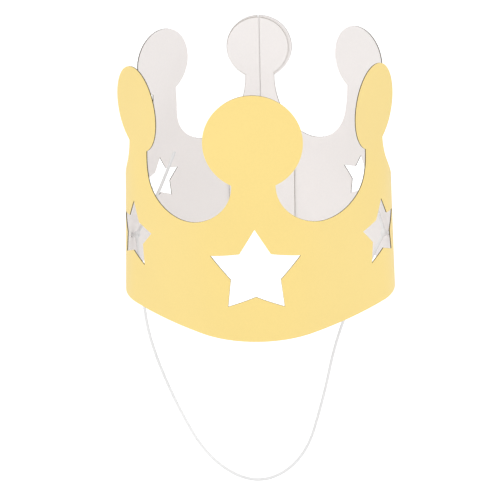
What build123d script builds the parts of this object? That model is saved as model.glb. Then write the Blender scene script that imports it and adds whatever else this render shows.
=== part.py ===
"""Paper crown: one die-cut strip of card closed into a ring, worn with a round elastic.

Millimetres, Z up, front of the crown toward -Y. The origin is the centre of the rim opening.
"""
from build123d import *
import os
from math import radians, degrees, sin, cos, pi, sqrt, tan

os.makedirs("parts", exist_ok=True)

# ---- card ---------------------------------------------------------------
card = 0.6                # thickness of the laminated card
wall_top = 172.0          # height of the blank before the outline is cut
taper_height = 100.0      # height where the rim shape has turned into the neck shape
end_flat = 3.0            # half length of the flat at the back centre

# rim shape and neck shape: nose, flank and corner, as (radius, degrees of turn)
rim_arcs = [(60.0, 37.5), (276.0, 14.0), (41.5, 34.5)]
neck_arcs = [(60.0, 46.3), (300.0, 10.0), (76.8, 38.0)]

# ---- the round-headed points, counted from the front centre ----------------
front_pitch = 109.0       # front centre point to side-front point, along the card
back_from_front = 201.0   # front centre point to side-back point, along the card
head_radius = [30.5, 28.0, 23.6, 23.2]
head_height = [139.4, 139.0, 142.8, 142.6]
neck_half = [13.6, 12.8, 10.8, 10.4]
star_radius = [31.4, 23.6, 17.6, 16.0]
star_height = [50.5, 51.4, 54.5, 55.0]
star_inner = 0.54         # inner corner radius of a star over its tip radius
scallop_height = [79.5, 77.5, 77.0]

# ---- back joint: two ends that interlock through half slits ---------------
joint_gap = 0.2           # air between the two layers
slit_half = 0.8           # half width of a slit
slit_meet = 84.0          # height where the lower slit meets the upper slit
end_reach = 24.5          # how far a free end runs past the centre
end_shift = 1.2           # how far the inner layer's head is set off from the outer one
end_trim = 1.3            # how much smaller the inner layer's head is

# ---- elastic ------------------------------------------------------------
cord_diameter = 2.2
hole_clearance = 0.5
cord_hole_s = 157.0       # hole from the front centre, along the card
cord_hole_z = 29.0
knot_diameter = 5.6
knot_rim = 0.5            # air between a knot and the card, along the thread
knot_lead = 8.0           # from a knot's middle to the end of the loop
stop_diameter = 4.6       # flattened end of the thread outside the card
stop_thick = 0.9
stop_air = 0.75           # air between that end and the card, along the thread

# ---- making -------------------------------------------------------------
cutter_depth = 26.0       # how far a cutter reaches to each side of the wall
slit_air = 0.3            # air between the two slits' ends


def walk(arcs, s):
    """Point and heading (degrees) at distance s along a half plan that starts at the nose."""
    x = y = turn = 0.0
    for radius, angle in arcs:
        length = radius * radians(angle)
        part = min(max(s, 0.0), length)
        end = turn + part / radius
        x += radius * (sin(end) - sin(turn))
        y += radius * (cos(turn) - cos(end))
        s -= part
        turn = end
        if s <= 1e-9:
            return x, y, degrees(turn)
    radius = (x - end_flat) / sin(turn)
    length = radius * (pi - turn)
    part = min(s, length)
    end = turn + part / radius
    x += radius * (sin(end) - sin(turn))
    y += radius * (cos(turn) - cos(end))
    s -= part
    return x - s, y, degrees(end)


def corner_turn(arcs):
    return sum(angle for radius, angle in arcs)


def arcs_length(arcs):
    return sum(radius * radians(angle) for radius, angle in arcs)


def back_radius(arcs):
    x = walk(arcs, arcs_length(arcs))[0]
    return (x - end_flat) / sin(radians(corner_turn(arcs)))


def half_length(arcs):
    turn = radians(corner_turn(arcs))
    return arcs_length(arcs) + back_radius(arcs) * (pi - turn) + end_flat


def depth(arcs):
    return walk(arcs, half_length(arcs))[1]


back_y = depth(rim_arcs) / 2


def place(arcs, s):
    """World x, y and heading of the outer face at distance s; the back stays upright."""
    x, y, heading = walk(arcs, s)
    return x, y - depth(arcs) + back_y, heading


pitch_line = [0.0, front_pitch, back_from_front, half_length(neck_arcs)]


def strip_profile(arcs):
    """Closed outline of the right half strip, its jog through the slit and its free end."""
    nose_y = back_y - depth(arcs)
    r4 = back_radius(arcs)
    turn = corner_turn(arcs)
    inner = card + joint_gap
    free_angle = degrees((end_reach - end_flat) / (r4 - inner))
    with BuildLine() as outline:
        # outer face
        o1 = JernArc((0, nose_y), (1, 0), arcs[0][0], arcs[0][1])
        o2 = JernArc(o1 @ 1, o1 % 1, arcs[1][0], arcs[1][1])
        o3 = JernArc(o2 @ 1, o2 % 1, arcs[2][0], arcs[2][1])
        o4 = JernArc(o3 @ 1, o3 % 1, r4, 180 - turn)
        o5 = Line((end_flat, back_y), (slit_half, back_y))
        o6 = Line(o5 @ 1, (-slit_half, back_y - inner))
        o7 = Line(o6 @ 1, (-end_flat, back_y - inner))
        o8 = JernArc(o7 @ 1, (-1, 0), r4 - inner, free_angle)
        # inner face
        i8 = JernArc((-end_flat, back_y - inner - card), (-1, 0), r4 - inner - card, free_angle)
        Line(o8 @ 1, i8 @ 1)
        i7 = Line(i8 @ 0, (-slit_half, back_y - inner - card))
        i6 = Line(i7 @ 1, (slit_half, back_y - card))
        i5 = Line(i6 @ 1, (end_flat, back_y - card))
        i1 = JernArc((0, nose_y + card), (1, 0), arcs[0][0] - card, arcs[0][1])
        i2 = JernArc(i1 @ 1, i1 % 1, arcs[1][0] - card, arcs[1][1])
        i3 = JernArc(i2 @ 1, i2 % 1, arcs[2][0] - card, arcs[2][1])
        JernArc(i3 @ 1, i3 % 1, r4 - card, 180 - turn)
        Line((0, nose_y), (0, nose_y + card))
    return outline.line


def facing(arcs, s, z, back=0.0):
    """Plane at a place on the wall: x runs along the card, y up, z straight out of the crown."""
    x, y, heading = place(arcs, s)
    along = (cos(radians(heading)), sin(radians(heading)), 0)
    out = (sin(radians(heading)), -cos(radians(heading)), 0)
    return Plane(origin=(x - out[0] * back, y - out[1] * back, z), x_dir=along, z_dir=out)


def notch_height(i):
    return head_height[i] - sqrt(head_radius[i] ** 2 - neck_half[i] ** 2)


def span(s, mid):
    """How far a place on the card lies from another, seen square on to that other."""
    x, y, heading = place(neck_arcs, s)
    mx, my, mid_heading = place(neck_arcs, mid)
    a = radians(mid_heading)
    return (x - mx) * cos(a) + (y - my) * sin(a)


# ---- where the elastic goes through the card ----------------------------------
share = cord_hole_z / taper_height
rim_x, rim_y, rim_heading = place(rim_arcs, cord_hole_s)
neck_x, neck_y, neck_heading = place(neck_arcs, cord_hole_s)
hole_x = rim_x + (neck_x - rim_x) * share
hole_y = rim_y + (neck_y - rim_y) * share

# ---- scallops between neighbouring points ------------------------------------
with BuildPart() as scallops:
    for i in range(3):
        left_edge = pitch_line[i] + neck_half[i]
        right_edge = pitch_line[i + 1] - neck_half[i + 1]
        mid = (left_edge + right_edge) / 2
        low = scallop_height[i]
        x_left = span(left_edge, mid)
        x_right = span(right_edge, mid)
        z_left = notch_height(i) - low
        z_right = notch_height(i + 1) - low
        with BuildSketch(facing(neck_arcs, mid, low, cutter_depth)):
            with BuildLine():
                EllipticalCenterArc((0, z_left), -x_left, z_left, 180, arc_size=90)
                EllipticalCenterArc((0, z_right), x_right, z_right, 270, arc_size=90)
                Polyline((x_right, z_right), (0, z_right), (x_left, z_left))
            make_face()
        extrude(amount=2 * cutter_depth)

# ---- right half of the strip ------------------------------------------------
with BuildPart() as right_strip:
    with BuildSketch(Plane.XY):
        add(strip_profile(rim_arcs))
        make_face()
    with BuildSketch(Plane.XY.offset(taper_height)):
        add(strip_profile(neck_arcs))
        make_face()
    loft(ruled=True)
    with BuildSketch(Plane.XY.offset(taper_height)):
        add(strip_profile(neck_arcs))
        make_face()
    extrude(amount=wall_top - taper_height)

    # the free end lies on the other side, so it takes the other side's scallop
    add(scallops.part, mode=Mode.SUBTRACT)
    add(scallops.part.mirror(Plane.YZ), mode=Mode.SUBTRACT)

    # round heads: all that lies outside the circle is cut away above the notch
    for i in range(4):
        low = notch_height(i)
        before = span((pitch_line[i - 1] + pitch_line[i]) / 2, pitch_line[i]) if i else -8.0
        after = span((pitch_line[i] + pitch_line[i + 1]) / 2, pitch_line[i]) if i < 3 else 40.0
        with BuildSketch(facing(neck_arcs, pitch_line[i], low, cutter_depth)):
            with Locations(((before + after) / 2, (wall_top + 4 - low) / 2)):
                Rectangle(after - before + 2, wall_top + 4 - low)
            with Locations((0, head_height[i] - low)):
                Circle(head_radius[i], mode=Mode.SUBTRACT)
        extrude(amount=2 * cutter_depth, mode=Mode.SUBTRACT)

    # star cut-outs
    for i in range(4):
        tips = []
        for k in range(10):
            reach = star_radius[i] * (1 if k % 2 == 0 else star_inner)
            angle = pi / 2 - k * pi / 5
            tips.append((reach * cos(angle), reach * sin(angle)))
        with BuildSketch(facing(rim_arcs, pitch_line[i] * half_length(rim_arcs) / pitch_line[3],
                                star_height[i])):
            Polygon(*tips, align=None)
        extrude(amount=18, both=True, mode=Mode.SUBTRACT)

    # hole for the elastic, on the line of its thread
    with BuildSketch(Plane(origin=(hole_x - 8, hole_y, cord_hole_z), x_dir=(0, 1, 0), z_dir=(1, 0, 0))):
        Circle(cord_diameter / 2 + hole_clearance)
    extrude(amount=16, mode=Mode.SUBTRACT)


def trim_head(side):
    """Sketch region that trims the inner layer's head; side is +1 for the right strip."""
    low = notch_height(3)
    with BuildSketch(facing(neck_arcs, pitch_line[3], low, 12)) as region:
        with Locations((side * (slit_half + 20), (wall_top + 4 - low) / 2 + 0.6)):
            Rectangle(40, wall_top + 4 - low)
        with Locations((end_shift, head_height[3] - low)):
            Circle(head_radius[3] - end_trim, mode=Mode.SUBTRACT)
    return region.sketch


with BuildPart() as left_strip:
    add(right_strip.part.mirror(Plane.YZ))
    extrude(trim_head(-1), amount=24, mode=Mode.SUBTRACT)
    with Locations((0, back_y - card, slit_meet - slit_air)):
        Box(2 * slit_half, 12, 120, align=(Align.CENTER, Align.CENTER, Align.MIN), mode=Mode.SUBTRACT)

with BuildPart() as crown_card:
    add(right_strip.part)
    extrude(trim_head(1), amount=24, mode=Mode.SUBTRACT)
    with Locations((0, back_y - card, slit_meet + slit_air)):
        Box(2 * slit_half, 12, 120, align=(Align.CENTER, Align.CENTER, Align.MAX), mode=Mode.SUBTRACT)
    add(left_strip.part)
crown_card.part.label = "crown_card"

# ---- elastic: a knot inside each hole, a stop outside it, and the hanging loop ----
ball = knot_diameter / 2
inner_x = hole_x - card - knot_rim - ball
outer_x = hole_x + stop_air


def loop_end(x, z, next_x, next_z):
    far = sqrt((next_x - x) ** 2 + (next_z - z) ** 2)
    return x + (next_x - x) * knot_lead / far, z + (next_z - z) * knot_lead / far


# points of the loop as seen from the front, left end first
loop_points = [loop_end(-inner_x, cord_hole_z, -85.0, -13.0), (-85.0, -13.0), (-82.5, -52.0),
               (-66.0, -105.0), (-42.0, -157.0), (-5.0, -180.0), (30.0, -157.0), (44.5, -102.0), (52.0, -60.0),
               (66.0, -17.0),
               loop_end(inner_x, cord_hole_z, 66.0, -17.0)]
left_tail = [(-inner_x + 0.6, hole_y + 0.7, cord_hole_z + 0.9), (-74.0, 27.0, 47.0), (-60.0, 46.0, 80.0)]
right_tail = [(inner_x - 0.2, hole_y + 0.7, cord_hole_z + 1.1), (84.5, 22.0, 38.0), (80.5, 31.0, 45.0)]


def turn_radii(points):
    radii = []
    for a, b, c in zip(points[:-2], points[1:-1], points[2:]):
        u, w = Vector(*b) - Vector(*a), Vector(*c) - Vector(*b)
        half = radians(u.get_angle(w)) / 2
        radii.append(0.45 * min(u.length, w.length) / tan(half))
    return radii


loop = [(x, hole_y, z) for x, z in loop_points]
loop_radii = turn_radii(loop)
print("loop radii", [round(r, 1) for r in loop_radii])

with BuildPart() as elastic_cord:
    with BuildLine():
        loop_path = FilletPolyline(*loop, radius=loop_radii)
    with BuildSketch(loop_path ^ 0):
        Circle(cord_diameter / 2)
    sweep()
elastic_cord.part.label = "elastic_cord"
print("loop length", round(loop_path.length, 1), "volume", round(elastic_cord.part.volume, 1))


def thread(points):
    """One free tail from a knot: straight runs with rounded turns."""
    with BuildPart() as tail:
        with BuildLine():
            path = FilletPolyline(*points, radius=turn_radii(points))
        with BuildSketch(path ^ 0):
            Circle(cord_diameter / 2)
        sweep(path=path)
    return tail.part


def knot_and_stop(side):
    """The knot inside the card, the thread through the hole and its flattened end outside."""
    start = Plane(origin=(side * inner_x, hole_y, cord_hole_z), x_dir=(side, 0, 0), z_dir=(0, -side, 0))
    reach = outer_x + stop_thick - inner_x
    with BuildPart() as piece:
        with BuildSketch(start):
            Circle(ball)
            with Locations((reach / 2, 0)):
                Rectangle(reach, cord_diameter)
            with Locations((reach - stop_thick / 2, 0)):
                Rectangle(stop_thick, stop_diameter)
            with Locations((reach / 2, -ball)):
                Rectangle(reach + 4 * ball, 2 * ball, mode=Mode.SUBTRACT)
        revolve(axis=Axis(start.origin, start.x_dir))
    return piece.part


def lead(end, following):
    """The short thread from a knot to the end face of the loop."""
    away = Vector(*end) - Vector(*following)
    with BuildPart() as piece:
        with BuildSketch(Plane(origin=end, z_dir=away)):
            Circle(cord_diameter / 2)
        extrude(amount=knot_lead - ball / 2)
    return piece.part


with BuildPart() as left_knot:
    add(knot_and_stop(-1))
    add(lead(loop[0], loop[1]))
    add(thread(left_tail))
left_knot.part.label = "left_knot"

with BuildPart() as right_knot:
    add(knot_and_stop(1))
    add(lead(loop[-1], loop[-2]))
    add(thread(right_tail))
right_knot.part.label = "right_knot"

export_step(crown_card.part, "parts/crown_card.step")
export_step(elastic_cord.part, "parts/elastic_cord.step")
export_step(left_knot.part, "parts/left_knot.step")
export_step(right_knot.part, "parts/right_knot.step")
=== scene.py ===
"""Paper crown: one strip of laminated card, cut flat and bent into a ring, with its elastic."""
from math import radians, sin, cos, acos, pi, sqrt, hypot
import bpy
from mathutils import Vector, Matrix


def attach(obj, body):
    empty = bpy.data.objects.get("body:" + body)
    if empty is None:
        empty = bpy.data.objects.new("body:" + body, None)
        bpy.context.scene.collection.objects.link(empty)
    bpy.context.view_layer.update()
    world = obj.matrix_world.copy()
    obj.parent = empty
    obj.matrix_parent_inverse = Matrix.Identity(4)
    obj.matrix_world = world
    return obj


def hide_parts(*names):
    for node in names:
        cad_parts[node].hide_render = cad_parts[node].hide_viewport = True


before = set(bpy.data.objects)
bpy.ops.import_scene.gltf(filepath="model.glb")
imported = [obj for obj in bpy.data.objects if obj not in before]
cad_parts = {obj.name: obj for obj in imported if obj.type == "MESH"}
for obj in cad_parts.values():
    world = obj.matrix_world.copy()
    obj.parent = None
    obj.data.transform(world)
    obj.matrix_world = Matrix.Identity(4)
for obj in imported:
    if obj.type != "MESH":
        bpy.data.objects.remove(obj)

bl_info = {
    "name": "Paper crown",
    "version": (1, 0, 0),
    "blender": (4, 5, 0),
    "location": "View3D > Sidebar > Paper crown",
    "description": "Card crown with round-headed points, star cut-outs and an elastic",
    "category": "Object",
}

MM = 0.001

# ---- card, in mm ------------------------------------------------------------
CARD = 0.6
TAPER = 100.0             # height where the rim shape has turned into the neck shape
END_FLAT = 3.0            # half length of the flat at the back centre

# rim shape and neck shape: nose, flank and corner, as (radius, degrees of turn)
RIM = [(60.0, 37.5), (276.0, 14.0), (41.5, 34.5)]
NECK = [(60.0, 46.3), (300.0, 10.0), (76.8, 38.0)]

# the round-headed points, counted from the front centre to the back
FRONT_PITCH = 109.0       # front centre point to side-front point, along the card
BACK_FROM_FRONT = 201.0   # front centre point to side-back point, along the card
HEAD_RADIUS = [30.5, 28.0, 23.6, 23.2]
HEAD_HEIGHT = [139.4, 139.0, 142.8, 142.6]
NECK_HALF = [13.6, 12.8, 10.8, 10.4]
STAR_RADIUS = [31.4, 23.6, 17.6, 16.0]
STAR_HEIGHT = [50.5, 51.4, 54.5, 55.0]
STAR_INNER = 0.54         # inner corner radius of a star over its tip radius
SCALLOP_HEIGHT = [79.5, 77.5, 77.0]

# back joint: the half slits, and the free end past the centre
SLIT_HALF, SLIT_MEET, SLIT_AIR = 0.8, 84.0, 0.3
END_REACH, END_SHIFT, END_TRIM = 24.5, 1.2, 1.3
JOINT_GAP = 0.2           # air between the two layers

# how far each flat head leans inward, and how much it turns, as (mm, degrees): left is -1, right is 1
LEAN = {(-1, 1): (3.4, -3.6), (1, 1): (3.7, 0.0), (-1, 2): (5.3, 5.7), (1, 2): (2.1, 4.0)}
FLAT_MARGIN = 0.5         # how far the flat of a head runs past its outline
BLEND_FROM, BLEND_OVER = 82.0, 36.0   # height where a head starts to turn flat, and over how much

# ---- cutting and bending, in mm ---------------------------------------------
BLANK_HEIGHT = 172.0      # the blank before its outline is cut
BLANK_ROWS = 43           # mesh cells up the blank
BLANK_MARGIN = 1.0        # how far the blank runs past each free end
CUTTER_HALF = 10.0        # how far a cutter reaches to each side of the flat strip
PAST_BOTTOM, PAST_TOP = -5.0, 180.0   # where a slit's cutter ends, clear of the strip
ARC_STEPS = 40            # straight steps in a head or a scallop
HOLE_SIDES = 32
PATH_MARGIN = 2.0         # how far a bending line runs past each free end
SLACK, SHORT_SPAN = 0.01, 3.0         # spare length and span under which a line stays straight
SIDE_NORMAL = 0.7         # a flat side's normal points across the card by more than this

# ---- elastic, in mm -----------------------------------------------------------
CORD, KNOT, KNOT_RIM, KNOT_LEAD = 2.2, 5.6, 0.5, 8.0
KNOT_RING = 1.55          # middle radius of one turn of a knot
KNOT_TURNS = ((90, 25, 0), (25, 80, 30), (60, -40, 80))   # how each turn lies, in degrees
LEAD_MIDDLE, LEAD_END = 3.0, 6.4      # from the loop's end into the knot
STOP_DIAMETER, STOP_THICK, STOP_AIR, STOP_EDGE = 4.6, 0.9, 0.75, 0.25
HOLE_S, HOLE_Z, HOLE_RADIUS = 157.0, 29.0, 1.6

# ---- stage, in metres ---------------------------------------------------------
WORLD_LIGHT = 0.72
LAMPS = [("key_light", (-0.9, -1.0, 1.1), 9, 1.4), ("fill_light", (1.3, -0.6, 0.5), 5, 1.4),
         ("top_light", (0.0, 0.5, 1.4), 4, 1.4)]
LAMP_TARGET = (0, 0, 0.05)
FLOOR_SIZE, FLOOR_Z = 6, -0.25
FLOOR_LIFT = 0.35         # how far the floor is brightened where the camera sees it
CAMERA_AT = (0.03013, -0.97095, 0.46855)
CAMERA_TARGET = (0, 0, 0.07)
CAMERA_AIM = (0.00568, 0.04164)       # how far left of the target and below it the camera aims
CAMERA_ROLL = -1.234      # degrees
CAMERA_LENS = 111.18


# ---- the plan of the ring -------------------------------------------------
def walk(arcs, s):
    """Point and heading (radians) at distance s along a half plan that starts at the nose."""
    x = y = turn = 0.0
    for radius, angle in arcs:
        length = radius * radians(angle)
        part = min(max(s, 0.0), length)
        end = turn + part / radius
        x += radius * (sin(end) - sin(turn))
        y += radius * (cos(turn) - cos(end))
        s -= part
        turn = end
        if s <= 1e-9:
            return x, y, turn
    radius = (x - END_FLAT) / sin(turn)
    part = min(s, radius * (pi - turn))
    end = turn + part / radius
    x += radius * (sin(end) - sin(turn))
    y += radius * (cos(turn) - cos(end))
    return x - (s - part), y, end


def half_length(arcs):
    length = sum(r * radians(a) for r, a in arcs)
    turn = radians(sum(a for r, a in arcs))
    return length + (walk(arcs, length)[0] - END_FLAT) / sin(turn) * (pi - turn) + END_FLAT


HALF = half_length(NECK)
BACK_Y = walk(RIM, half_length(RIM))[1] / 2
PITCH = [0.0, FRONT_PITCH, BACK_FROM_FRONT, HALF]


def wall(arcs, s):
    """World x, y and heading of the outer face; s runs right from the front, less than 0 to the left."""
    scale = half_length(arcs) / HALF
    x, y, turn = walk(arcs, abs(s) * scale)
    y += BACK_Y - walk(arcs, half_length(arcs))[1]
    return (x, y, turn) if s >= 0 else (-x, y, -turn)


def ring_point(arcs, s):
    """A point of the strip's outer face, with each free end set in behind the other side."""
    inner = CARD + JOINT_GAP
    step = min(max((abs(s) - (HALF - SLIT_HALF)) / (2 * SLIT_HALF), 0.0), 1.0)
    if abs(s) <= HALF:
        x, y, turn = wall(arcs, s)
    else:
        x, y, turn = wall(arcs, (2 * HALF - abs(s)) * (1 if s < 0 else -1))
    return x - sin(turn) * inner * step, y + cos(turn) * inner * step


def notch_height(i):
    return HEAD_HEIGHT[i] - sqrt(HEAD_RADIUS[i] ** 2 - NECK_HALF[i] ** 2)


# ---- helpers ----------------------------------------------------------------
def only(piece):
    """Leaves one object selected and active."""
    bpy.ops.object.select_all(action="DESELECT")
    piece.select_set(True)
    bpy.context.view_layer.objects.active = piece


def apply_modifier(piece, kind, **values):
    only(piece)
    modifier = piece.modifiers.new(kind.lower(), kind)
    for name, value in values.items():
        setattr(modifier, name, value)
    bpy.ops.object.modifier_apply(modifier=modifier.name)


def prism(name, outline):
    """A cutter that runs right through the flat strip, from its outline in mm."""
    mesh = bpy.data.meshes.new(name)
    near_side = [(x * MM, -CUTTER_HALF * MM, z * MM) for x, z in outline]
    mesh.from_pydata(near_side, [], [tuple(range(len(near_side)))])
    piece = bpy.data.objects.new(name, mesh)
    bpy.context.scene.collection.objects.link(piece)
    only(piece)
    bpy.ops.object.mode_set(mode="EDIT")
    bpy.ops.mesh.select_all(action="SELECT")
    bpy.ops.mesh.extrude_region_move(TRANSFORM_OT_translate={"value": (0, 2 * CUTTER_HALF * MM, 0)})
    bpy.ops.mesh.select_all(action="SELECT")
    bpy.ops.mesh.normals_make_consistent(inside=False)
    bpy.ops.object.mode_set(mode="OBJECT")
    return piece


def path_curve(name, points):
    """A poly curve in the plan, for bending the strip along."""
    data = bpy.data.curves.new(name, "CURVE")
    data.dimensions = "2D"
    spline = data.splines.new("POLY")
    spline.points.add(len(points) - 1)
    for p, (x, y) in zip(spline.points, points):
        p.co = (x * MM, y * MM, 0, 1)
    curve = bpy.data.objects.new(name, data)
    bpy.context.scene.collection.objects.link(curve)
    return curve


def copy_of(piece, name):
    only(piece)
    bpy.ops.object.duplicate()
    new = bpy.context.object
    new.name = name
    return new


# ---- outlines cut from the flat strip, in mm ----------------------------------
def star_outline(s, z, radius):
    return [(s + radius * (1 if k % 2 == 0 else STAR_INNER) * sin(k * pi / 5),
             z + radius * (1 if k % 2 == 0 else STAR_INNER) * cos(k * pi / 5)) for k in range(10)]


def circle_outline(s, z, radius):
    angles = [2 * pi * k / HOLE_SIDES for k in range(HOLE_SIDES)]
    return [(s + radius * cos(a), z + radius * sin(a)) for a in angles]


def slit_outline(middle, bottom, top):
    return [(middle - SLIT_HALF, bottom), (middle + SLIT_HALF, bottom),
            (middle + SLIT_HALF, top), (middle - SLIT_HALF, top)]


def head_arc(centre, z, radius, first, last):
    """Points round a head, from one angle to another."""
    return [(centre + radius * cos(first + (last - first) * k / ARC_STEPS),
             z + radius * sin(first + (last - first) * k / ARC_STEPS)) for k in range(ARC_STEPS + 1)]


def scallop(first, last, high_first, high_last, low, until=float("inf")):
    """Points down one quarter of an ellipse and up the next."""
    mid, half = (first + last) / 2, (last - first) / 2
    line = []
    for k in range(1, ARC_STEPS):
        t = pi * k / ARC_STEPS
        x = mid - half * cos(t)
        high = high_first if t < pi / 2 else high_last
        if x < until:
            line.append((x, high - (high - low) * sin(t)))
    return line


def side_outline(shift):
    """Top edge of one half of the strip, from the front centre out to its free end."""
    low_angle = [-acos(NECK_HALF[i] / HEAD_RADIUS[i]) for i in range(4)]
    line = head_arc(0, HEAD_HEIGHT[0], HEAD_RADIUS[0], pi / 2, low_angle[0])
    for i in range(3):
        line += scallop(PITCH[i] + NECK_HALF[i], PITCH[i + 1] - NECK_HALF[i + 1],
                        notch_height(i), notch_height(i + 1), SCALLOP_HEIGHT[i])
        last = low_angle[i + 1] if i < 2 else pi / 2
        line += head_arc(PITCH[i + 1], HEAD_HEIGHT[i + 1], HEAD_RADIUS[i + 1], pi - low_angle[i + 1], last)
    small = HEAD_RADIUS[3] - END_TRIM
    line += head_arc(HALF + shift, HEAD_HEIGHT[3], small, acos(-shift / small),
                     -acos((NECK_HALF[3] - shift) / small))
    gap = (PITCH[3] - NECK_HALF[3]) - (PITCH[2] + NECK_HALF[2])
    line += [(HALF + NECK_HALF[3], notch_height(3))]
    line += scallop(HALF + NECK_HALF[3], HALF + NECK_HALF[3] + gap, notch_height(3), notch_height(2),
                    SCALLOP_HEIGHT[2], HALF + END_REACH)
    end_z = line[-1][1]
    return line + [(HALF + END_REACH, end_z), (HALF + END_REACH, 0.0)]


def flat_heads(chosen, reach):
    """Plan line that lies straight across each chosen head; between heads only its length matters."""
    line = []
    for mid, i in sorted({(side * PITCH[i], i) for side in (-1, 1) for i in chosen}):
        x, y, turn = wall(NECK, mid)
        inward, squarer = LEAN.get((1 if mid > 0 else -1, i), (0.0, 0.0))
        x -= inward if mid > 0 else -inward
        turn += radians(squarer) * (1 if mid > 0 else -1)
        w = HEAD_RADIUS[i] + FLAT_MARGIN
        steps = [-w, w]
        if i == 3:
            steps = [-w, -SLIT_HALF, SLIT_HALF, reach - HALF]
        if i == 3 and mid < 0:
            steps = [HALF - reach, -SLIT_HALF, SLIT_HALF, w]
        for d in steps:
            inset = CARD + JOINT_GAP if i == 3 and abs(mid + d) > HALF else 0.0
            at = (x + d * cos(turn) - inset * sin(turn), y + d * sin(turn) + inset * cos(turn))
            line.append((mid + d, at))
    if 3 not in chosen:
        line = [(-reach, ring_point(NECK, -reach))] + line + [(reach, ring_point(NECK, reach))]
    full = [line[0]]
    for (sa, a), (sb, b) in zip(line, line[1:]):
        chord, length = hypot(b[0] - a[0], b[1] - a[1]), sb - sa
        if length > chord + SLACK and length > SHORT_SPAN:
            rise = sqrt(length ** 2 - chord ** 2) / 2
            nx, ny = (b[1] - a[1]) / chord, -(b[0] - a[0]) / chord
            full.append(((sa + sb) / 2, ((a[0] + b[0]) / 2 + nx * rise, (a[1] + b[1]) / 2 + ny * rise)))
        full.append((sb, b))
    return full


def bend_paths():
    """Plan lines for the rim, necks and flat heads, each with how far its front centre is along it."""
    reach = HALF + END_REACH + PATH_MARGIN
    marks = sorted(set([-reach, reach, 0.0] + [k * 1.0 for k in range(-int(reach), int(reach) + 1)]
                       + [side * (HALF + d) for side in (-1, 1) for d in (-SLIT_HALF, SLIT_HALF)]))
    lines = [[(s, ring_point(arcs, s)) for s in marks] for arcs in (RIM, NECK)]
    # neighbouring heads take different lines, because one line can't lie flat across both
    lines += [flat_heads([0, 2], reach), flat_heads([1, 3], reach)]

    paths = []
    for line in lines:
        along = 0.0
        for (sa, a), (sb, b) in zip(line, line[1:]):
            step = hypot(b[0] - a[0], b[1] - a[1])
            if sa <= 0.0 < sb:
                front = along + step * (0.0 - sa) / (sb - sa)
            along += step
        paths.append(([p for s, p in line], front))
    return paths


# ---- materials ------------------------------------------------------------------
def fibre_group():
    """Shared paper surface: fine fibre and broad, faint waves, out as a bump and a factor."""
    group = bpy.data.node_groups.new("card_surface", "ShaderNodeTree")
    group.interface.new_socket("Fibre", in_out="INPUT", socket_type="NodeSocketFloat")
    group.interface.new_socket("Factor", in_out="OUTPUT", socket_type="NodeSocketFloat")
    group.interface.new_socket("Normal", in_out="OUTPUT", socket_type="NodeSocketVector")
    nodes, links = group.nodes, group.links
    inp, out = nodes.new("NodeGroupInput"), nodes.new("NodeGroupOutput")
    coords = nodes.new("ShaderNodeTexCoord")
    fine, broad = nodes.new("ShaderNodeTexNoise"), nodes.new("ShaderNodeTexNoise")
    fine.inputs["Detail"].default_value = 6
    broad.inputs["Scale"].default_value = 14
    broad.inputs["Detail"].default_value = 3
    first, second = nodes.new("ShaderNodeBump"), nodes.new("ShaderNodeBump")
    first.inputs["Strength"].default_value = 0.25
    first.inputs["Distance"].default_value = 0.0006
    second.inputs["Strength"].default_value = 0.10
    second.inputs["Distance"].default_value = 0.00006
    links.new(coords.outputs["Object"], fine.inputs["Vector"])
    links.new(inp.outputs["Fibre"], fine.inputs["Scale"])
    links.new(coords.outputs["Object"], broad.inputs["Vector"])
    links.new(broad.outputs["Fac"], first.inputs["Height"])
    links.new(fine.outputs["Fac"], second.inputs["Height"])
    links.new(first.outputs["Normal"], second.inputs["Normal"])
    mean = nodes.new("ShaderNodeMath")
    mean.operation = "ADD"
    half_fine, half_broad = nodes.new("ShaderNodeMath"), nodes.new("ShaderNodeMath")
    for node, source in ((half_fine, fine), (half_broad, broad)):
        node.operation = "MULTIPLY"
        node.inputs[1].default_value = 0.5
        links.new(source.outputs["Fac"], node.inputs[0])
    links.new(half_fine.outputs[0], mean.inputs[0])
    links.new(half_broad.outputs[0], mean.inputs[1])
    links.new(mean.outputs[0], out.inputs["Factor"])
    links.new(second.outputs["Normal"], out.inputs["Normal"])
    return group


def surface(name, light, dark, roughness, fibre, coat=0.0, specular=0.5):
    """A material of two close tones over the shared paper surface."""
    mat = bpy.data.materials.new(name)
    mat.use_nodes = True
    nodes, links = mat.node_tree.nodes, mat.node_tree.links
    shader = nodes["Principled BSDF"]
    group = nodes.new("ShaderNodeGroup")
    group.node_tree = bpy.data.node_groups.get("card_surface") or fibre_group()
    group.inputs["Fibre"].default_value = fibre
    ramp = nodes.new("ShaderNodeValToRGB")
    ramp.color_ramp.elements[0].position = 0.35
    ramp.color_ramp.elements[0].color = (*dark, 1)
    ramp.color_ramp.elements[1].position = 0.65
    ramp.color_ramp.elements[1].color = (*light, 1)
    links.new(group.outputs["Factor"], ramp.inputs["Fac"])
    links.new(ramp.outputs["Color"], shader.inputs["Base Color"])
    links.new(group.outputs["Normal"], shader.inputs["Normal"])
    shader.inputs["Roughness"].default_value = roughness
    shader.inputs["Coat Weight"].default_value = coat
    shader.inputs["Coat Roughness"].default_value = 0.35
    shader.inputs["Specular IOR Level"].default_value = specular
    return mat


def shade(colour, k):
    return tuple(c * k for c in colour)


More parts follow.
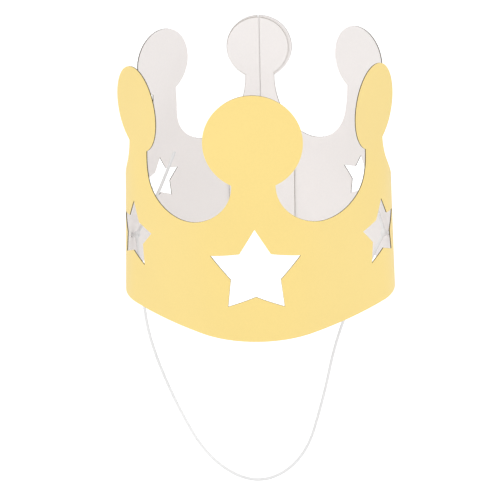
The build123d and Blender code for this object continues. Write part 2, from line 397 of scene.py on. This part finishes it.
class CrownSettings(bpy.types.PropertyGroup):
    """Sizes and colours that a user would change."""
    gold: bpy.props.FloatVectorProperty(name="Outside", description="Colour of the outside of the card",
                                        default=(0.96, 0.735, 0.255), size=3, min=0, max=1, subtype="COLOR")
    inside: bpy.props.FloatVectorProperty(name="Inside", description="Colour of the inside of the card",
                                          default=(0.90, 0.865, 0.85), size=3, min=0, max=1, subtype="COLOR")
    edge: bpy.props.FloatVectorProperty(name="Cut edge", description="Colour of the card's cut edge",
                                        default=(0.07, 0.05, 0.02), size=3, min=0, max=1, subtype="COLOR")
    elastic: bpy.props.FloatVectorProperty(name="Elastic", description="Colour of the elastic",
                                           default=(0.90, 0.90, 0.90), size=3, min=0, max=1, subtype="COLOR")
    cell: bpy.props.FloatProperty(name="Mesh size",
                                  description="Length of the card's mesh cells along the strip",
                                  default=0.0016, min=0.001, max=0.01, unit="LENGTH")


# ---- the card strip ---------------------------------------------------------------
def cut_with(strip, operation, outline):
    """Cuts the flat strip with a prism of that outline, and removes the prism."""
    cutter = prism("cutter", outline)
    apply_modifier(strip, "BOOLEAN", object=cutter, operation=operation, solver="EXACT")
    bpy.data.objects.remove(cutter)


def flat_strip(cell):
    """The strip laid flat at its thickness, cut to its outline, stars, holes and slits."""
    reach = (HALF + END_REACH) * MM
    half_height = BLANK_HEIGHT / 2 * MM
    columns = int(2 * reach / cell)
    bpy.ops.object.select_all(action="DESELECT")
    bpy.ops.mesh.primitive_grid_add(x_subdivisions=columns, y_subdivisions=BLANK_ROWS, size=2,
                                    location=(0, 0, half_height), rotation=(radians(90), 0, 0))
    strip = bpy.context.object
    strip.name = "gold_card_strip"
    strip.scale = (reach + BLANK_MARGIN * MM, half_height, 1)
    bpy.ops.object.transform_apply(location=True, rotation=True, scale=True)
    apply_modifier(strip, "SOLIDIFY", thickness=CARD * MM, offset=-1)

    right = side_outline(END_SHIFT)
    left = side_outline(-END_SHIFT)
    cut_with(strip, "INTERSECT", [(-s, z) for s, z in reversed(left[1:])] + right)

    cuts = [star_outline(side * PITCH[i], STAR_HEIGHT[i], STAR_RADIUS[i])
            for side in (-1, 1) for i in range(1, 4)]
    cuts.append(star_outline(0, STAR_HEIGHT[0], STAR_RADIUS[0]))
    cuts += [circle_outline(side * HOLE_S, HOLE_Z, HOLE_RADIUS) for side in (-1, 1)]
    cuts.append(slit_outline(HALF, PAST_BOTTOM, SLIT_MEET + SLIT_AIR))
    cuts.append(slit_outline(-HALF, SLIT_MEET - SLIT_AIR, PAST_TOP))
    for outline in cuts:
        cut_with(strip, "DIFFERENCE", outline)

    only(strip)
    bpy.ops.object.mode_set(mode="EDIT")
    for side in (-1, 1):
        for d in (-SLIT_HALF, SLIT_HALF):
            bpy.ops.mesh.select_all(action="SELECT")
            bpy.ops.mesh.bisect(plane_co=(side * (HALF + d) * MM, 0, 0), plane_no=(1, 0, 0))
    bpy.ops.object.mode_set(mode="OBJECT")
    return strip


def finish_sides(strip, p):
    """Gold outside, white inside and a dark cut edge, by where each face of the flat strip looks."""
    strip.data.materials.clear()
    for finish in (surface("gold_side", p.gold, shade(p.gold, 0.965), roughness=0.42, fibre=900, coat=0.12),
                   surface("white_side", p.inside, shade(p.inside, 0.97), roughness=0.62, fibre=700),
                   surface("cut_edge", p.edge, shade(p.edge, 0.7), roughness=0.9, fibre=2500, specular=0.2)):
        strip.data.materials.append(finish)
    for face in strip.data.polygons:
        across = face.normal.y
        face.material_index = 0 if across < -SIDE_NORMAL else 1 if across > SIDE_NORMAL else 2


def bend_groups(strip):
    """How much of each bend a vertex takes: the necks by height, the nearest head above the scallops."""
    necks, even, odd = [strip.vertex_groups.new(name=name) for name in ("necks", "even_heads", "odd_heads")]
    for v in strip.data.vertices:
        s, z = abs(v.co.x) / MM, v.co.z / MM
        nearest = min(range(4), key=lambda i: abs(s - PITCH[i]))
        t = min(max((z - BLEND_FROM) / BLEND_OVER, 0.0), 1.0)
        flat = t * t * (3 - 2 * t)
        necks.add([v.index], min(z / TAPER, 1.0), "REPLACE")
        even.add([v.index], flat if nearest % 2 == 0 else 0.0, "REPLACE")
        odd.add([v.index], flat if nearest % 2 == 1 else 0.0, "REPLACE")


def bend(strip):
    """Bends a copy of the flat strip along each plan line, and blends the copies up the wall."""
    bent = []
    for name, (points, front) in zip(("rim_bend", "neck_bend", "even_bend", "odd_bend"), bend_paths()):
        piece = strip if name == "rim_bend" else copy_of(strip, name)
        bent.append((piece, name, points, front))
    for piece, name, points, front in bent:
        only(piece)
        bpy.ops.object.mode_set(mode="EDIT")
        bpy.ops.mesh.select_all(action="SELECT")
        bpy.ops.transform.translate(value=(front * MM, 0, 0))
        bpy.ops.object.mode_set(mode="OBJECT")
        path = path_curve(name + "_path", points)
        apply_modifier(piece, "CURVE", object=path, deform_axis="POS_X")
        bpy.data.objects.remove(path)

    only(strip)
    copies = [piece for piece, name, points, front in bent[1:]]
    for piece in copies:
        piece.select_set(True)
    bpy.ops.object.join_shapes()
    keys = strip.data.shape_keys.key_blocks
    keys["neck_bend"].vertex_group = "necks"
    keys["neck_bend"].value = 1
    for name, group in (("even_bend", "even_heads"), ("odd_bend", "odd_heads")):
        keys[name].vertex_group = group
        keys[name].relative_key = keys["neck_bend"]
        keys[name].value = 1
    only(strip)
    bpy.ops.object.convert(target="MESH")
    for piece in copies:
        bpy.data.objects.remove(piece)
    strip.vertex_groups.clear()


class CROWN_OT_card(bpy.types.Operator):
    """Cuts the strip flat, finishes its sides and closes it into a ring"""
    bl_idname = "crown.card"
    bl_label = "Card strip"

    def execute(self, context):
        p = context.scene.crown
        strip = flat_strip(p.cell)
        finish_sides(strip, p)
        bend_groups(strip)
        bend(strip)
        only(strip)
        bpy.ops.object.shade_smooth_by_angle(angle=radians(30))
        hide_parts("crown_card")
        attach(strip, "root")
        return {"FINISHED"}


# ---- where the elastic goes ------------------------------------------------------
rim_at, neck_at = wall(RIM, HOLE_S), wall(NECK, HOLE_S)
HOLE_X = rim_at[0] + (neck_at[0] - rim_at[0]) * HOLE_Z / TAPER
HOLE_Y = rim_at[1] + (neck_at[1] - rim_at[1]) * HOLE_Z / TAPER
INNER_X = HOLE_X - CARD - KNOT_RIM - KNOT / 2
OUTER_X = HOLE_X + STOP_AIR


def loop_end(x, z, next_x, next_z):
    far = hypot(next_x - x, next_z - z)
    return x + (next_x - x) * KNOT_LEAD / far, z + (next_z - z) * KNOT_LEAD / far


hanging = [(-85.0, -13.0), (-82.5, -52.0), (-66.0, -105.0), (-42.0, -157.0), (-5.0, -180.0),
           (30.0, -157.0), (44.5, -102.0), (52.0, -60.0), (66.0, -17.0)]
LOOP = [(x, HOLE_Y, z) for x, z in [loop_end(-INNER_X, HOLE_Z, *hanging[0])] + hanging
        + [loop_end(INNER_X, HOLE_Z, *hanging[-1])]]
LEFT_TAIL = [(-INNER_X + 0.6, HOLE_Y + 0.7, HOLE_Z + 0.9), (-74.0, 27.0, 47.0), (-60.0, 46.0, 80.0)]
RIGHT_TAIL = [(INNER_X - 0.2, HOLE_Y + 0.7, HOLE_Z + 1.1), (84.5, 22.0, 38.0), (80.5, 31.0, 45.0)]


def thread_curve(name, points):
    """A thread along a spline through the given places, in mm."""
    data = bpy.data.curves.new(name, "CURVE")
    data.dimensions = "3D"
    data.bevel_depth = CORD / 2 * MM
    data.bevel_resolution = 5
    data.resolution_u = 16
    data.use_fill_caps = True
    spline = data.splines.new("NURBS")
    spline.points.add(len(points) - 1)
    for p, at in zip(spline.points, points):
        p.co = (at[0] * MM, at[1] * MM, at[2] * MM, 1)
    spline.order_u = 3
    spline.use_endpoint_u = True
    thread = bpy.data.objects.new(name, data)
    bpy.context.scene.collection.objects.link(thread)
    return thread


def tied_knot(name, node, side, end, following, tails, white):
    """A knot inside its hole, with the thread through the card, its flat stop and the threads it holds."""
    centre = Vector((side * INNER_X, HOLE_Y, HOLE_Z)) * MM
    parts = []
    for turn in KNOT_TURNS:
        bpy.ops.object.select_all(action="DESELECT")
        bpy.ops.mesh.primitive_torus_add(location=centre, rotation=[radians(a) for a in turn],
                                         major_radius=KNOT_RING * MM, minor_radius=CORD / 2 * MM,
                                         major_segments=28, minor_segments=12)
        parts.append(bpy.context.object)
    bpy.ops.object.select_all(action="DESELECT")
    reach = (OUTER_X - INNER_X) * MM
    bpy.ops.mesh.primitive_cylinder_add(vertices=20, radius=CORD / 2 * MM, depth=reach,
                                        location=centre + Vector((side * reach / 2, 0, 0)),
                                        rotation=(0, radians(90), 0))
    parts.append(bpy.context.object)
    bpy.ops.object.select_all(action="DESELECT")
    bpy.ops.mesh.primitive_cylinder_add(
        vertices=28, radius=STOP_DIAMETER / 2 * MM, depth=STOP_THICK * MM,
        location=(side * (OUTER_X + STOP_THICK / 2) * MM, HOLE_Y * MM, HOLE_Z * MM),
        rotation=(0, radians(90), 0))
    stop = bpy.context.object
    bpy.ops.object.mode_set(mode="EDIT")
    bpy.ops.mesh.select_all(action="SELECT")
    bpy.ops.mesh.bevel(offset=STOP_EDGE * MM, segments=3)
    bpy.ops.object.mode_set(mode="OBJECT")
    parts.append(stop)
    away = (Vector(end) - Vector(following)).normalized()
    lead = [Vector(end), Vector(end) + away * LEAD_MIDDLE, Vector(end) + away * LEAD_END]
    for points in [lead] + tails:
        only(thread_curve(node + "_thread", points))
        bpy.ops.object.convert(target="MESH")
        parts.append(bpy.context.object)
    only(parts[0])
    for part in parts:
        part.select_set(True)
    bpy.ops.object.join()
    knot = bpy.context.object
    knot.name = name
    bpy.ops.object.transform_apply(location=True, rotation=True, scale=True)
    knot.data.materials.clear()
    knot.data.materials.append(white)
    for face in knot.data.polygons:
        face.material_index = 0
    bpy.ops.object.shade_smooth_by_angle(angle=radians(40))
    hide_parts(node)
    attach(knot, "root")
    return knot


class CROWN_OT_elastic(bpy.types.Operator):
    """Adds the hanging elastic with its knots, stops and free tails"""
    bl_idname = "crown.elastic"
    bl_label = "Elastic"

    def execute(self, context):
        p = context.scene.crown
        white = surface("elastic", p.elastic, shade(p.elastic, 0.82),
                        roughness=0.75, fibre=3200, specular=0.3)
        loop = thread_curve("chin_elastic", LOOP)
        loop.data.materials.append(white)
        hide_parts("elastic_cord")
        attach(loop, "root")

        # the left knot's long tail is a cord of its own
        knots = [tied_knot("left_knot_tied", "left_knot", -1, LOOP[0], LOOP[1], [], white),
                 tied_knot("right_knot_tied", "right_knot", 1, LOOP[-1], LOOP[-2], [RIGHT_TAIL], white)]
        free_tail = thread_curve("left_free_tail", LEFT_TAIL)
        free_tail.data.materials.append(white)
        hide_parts("left_knot")
        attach(free_tail, "root")
        return {"FINISHED"}


def surroundings():
    """A soft even light, plain white where the camera or a reflection sees it."""
    world = bpy.data.worlds.new("surroundings")
    world.use_nodes = True
    nodes, links = world.node_tree.nodes, world.node_tree.links
    background = nodes["Background"]
    background.inputs["Color"].default_value = (1, 1, 1, 1)
    ray, most = nodes.new("ShaderNodeLightPath"), nodes.new("ShaderNodeMath")
    level = nodes.new("ShaderNodeMapRange")
    most.operation = "MAXIMUM"
    links.new(ray.outputs["Is Camera Ray"], most.inputs[0])
    links.new(ray.outputs["Is Glossy Ray"], most.inputs[1])
    level.inputs["To Min"].default_value = WORLD_LIGHT
    level.inputs["To Max"].default_value = 1.0
    links.new(most.outputs[0], level.inputs["Value"])
    links.new(level.outputs["Result"], background.inputs["Strength"])
    return world


def pale_floor():
    """A matt floor, brightened where the camera sees it so that it keeps only the soft shadow."""
    mat = bpy.data.materials.new("pale_floor")
    mat.use_nodes = True
    shader = mat.node_tree.nodes["Principled BSDF"]
    shader.inputs["Base Color"].default_value = (0.93, 0.93, 0.93, 1)
    shader.inputs["Roughness"].default_value = 0.9
    shader.inputs["Emission Color"].default_value = (1, 1, 1, 1)
    path = mat.node_tree.nodes.new("ShaderNodeLightPath")
    lift = mat.node_tree.nodes.new("ShaderNodeMath")
    lift.operation = "MULTIPLY"
    lift.inputs[1].default_value = FLOOR_LIFT
    mat.node_tree.links.new(path.outputs["Is Camera Ray"], lift.inputs[0])
    mat.node_tree.links.new(lift.outputs[0], shader.inputs["Emission Strength"])
    return mat


class CROWN_OT_stage(bpy.types.Operator):
    """Adds the floor, the soft light and the camera"""
    bl_idname = "crown.stage"
    bl_label = "Stage"

    def execute(self, context):
        context.scene.view_settings.view_transform = "Standard"
        context.scene.world = surroundings()

        bpy.ops.object.select_all(action="DESELECT")
        bpy.ops.mesh.primitive_plane_add(size=FLOOR_SIZE, location=(0, 0, FLOOR_Z))
        floor = context.object
        floor.name = "floor"
        bpy.ops.object.mode_set(mode="EDIT")
        bpy.ops.mesh.subdivide(number_cuts=3)
        bpy.ops.object.mode_set(mode="OBJECT")
        floor.data.materials.append(pale_floor())

        for name, at, watts, size in LAMPS:
            bpy.ops.object.select_all(action="DESELECT")
            bpy.ops.object.light_add(type="AREA", location=at)
            lamp = context.object
            lamp.name = name
            lamp.data.energy = watts
            lamp.data.size = size
            lamp.rotation_euler = (Vector(LAMP_TARGET) - Vector(at)).to_track_quat("-Z", "Y").to_euler()

        target = Vector(CAMERA_TARGET)
        at = Vector(CAMERA_AT)
        back = (at - target).normalized()
        right = (-back).cross(Vector((0, 0, 1))).normalized()
        up = right.cross(-back)
        roll = radians(CAMERA_ROLL)
        right, up = right * cos(roll) + up * sin(roll), up * cos(roll) - right * sin(roll)
        # the aim lies a little below the ring's middle, so the whole crown and its elastic are framed
        aside, below = CAMERA_AIM
        back = (at - (target - right * aside - up * below)).normalized()
        right = (right - back * right.dot(back)).normalized()
        up = back.cross(right)
        bpy.ops.object.camera_add(location=at)
        camera = context.object
        camera.matrix_world = Matrix.Translation(at) @ Matrix((right, up, back)).transposed().to_4x4()
        camera.data.lens = CAMERA_LENS
        context.scene.camera = camera
        return {"FINISHED"}


class CROWN_PT_panel(bpy.types.Panel):
    """Lists the crown's colours and the steps that build it"""
    bl_label = "Paper crown"
    bl_idname = "CROWN_PT_panel"
    bl_space_type = "VIEW_3D"
    bl_region_type = "UI"
    bl_category = "Paper crown"

    def draw(self, context):
        for name in ("gold", "inside", "edge", "elastic", "cell"):
            self.layout.prop(context.scene.crown, name)
        for name in ("crown.card", "crown.elastic", "crown.stage"):
            self.layout.operator(name)


classes = (CrownSettings, CROWN_OT_card, CROWN_OT_elastic, CROWN_OT_stage, CROWN_PT_panel)


def register():
    for c in classes:
        bpy.utils.register_class(c)
    bpy.types.Scene.crown = bpy.props.PointerProperty(type=CrownSettings)


def unregister():
    del bpy.types.Scene.crown
    for c in reversed(classes):
        bpy.utils.unregister_class(c)


def main():
    register()
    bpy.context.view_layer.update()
    bpy.ops.object.select_all(action="DESELECT")
    bpy.ops.crown.card()
    bpy.ops.crown.elastic()
    bpy.ops.crown.stage()


if __name__ == "__main__":
    main()
